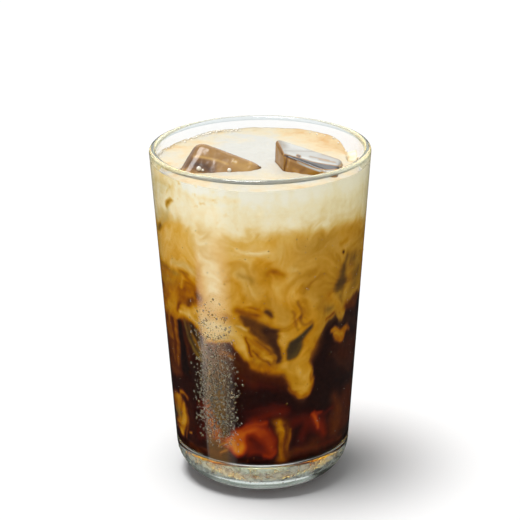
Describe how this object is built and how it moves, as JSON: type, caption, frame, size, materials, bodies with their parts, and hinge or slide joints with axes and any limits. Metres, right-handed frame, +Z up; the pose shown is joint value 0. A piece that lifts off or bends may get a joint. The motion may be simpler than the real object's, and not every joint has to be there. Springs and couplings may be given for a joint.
{
  "type": "iced coffee in a glass tumbler",
  "caption": "Tall clear tumbler with a heavy base, filled with layered iced coffee: dark coffee, swirled milky coffee, pale milk foam and floating ice.",
  "frame": {"origin": "on the table, under the middle of the glass", "axes": "+Z up along the axis of the glass, -Y towards the viewer of the picture"},
  "size_m": [0.0798, 0.0798, 0.1278],
  "materials": {
    "glass": "clear soda-lime glass, polished",
    "coffee": "strong black coffee, glossy liquid",
    "milk_coffee": "milk clouding into coffee, glossy liquid",
    "milk_foam": "fine milk foam, soft and matt",
    "ice": "wet clear ice, edges melted round",
    "coated_ice": "ice under a film of milk foam, wet"
  },
  "bodies": {
    "root": {"glass": "glass", "coffee": "coffee", "milk_coffee": "milk_coffee", "milk_foam": "milk_foam", "ice_left": "ice", "ice_right": "ice", "ice_rim": "coated_ice"}
  },
  "joints": []
}
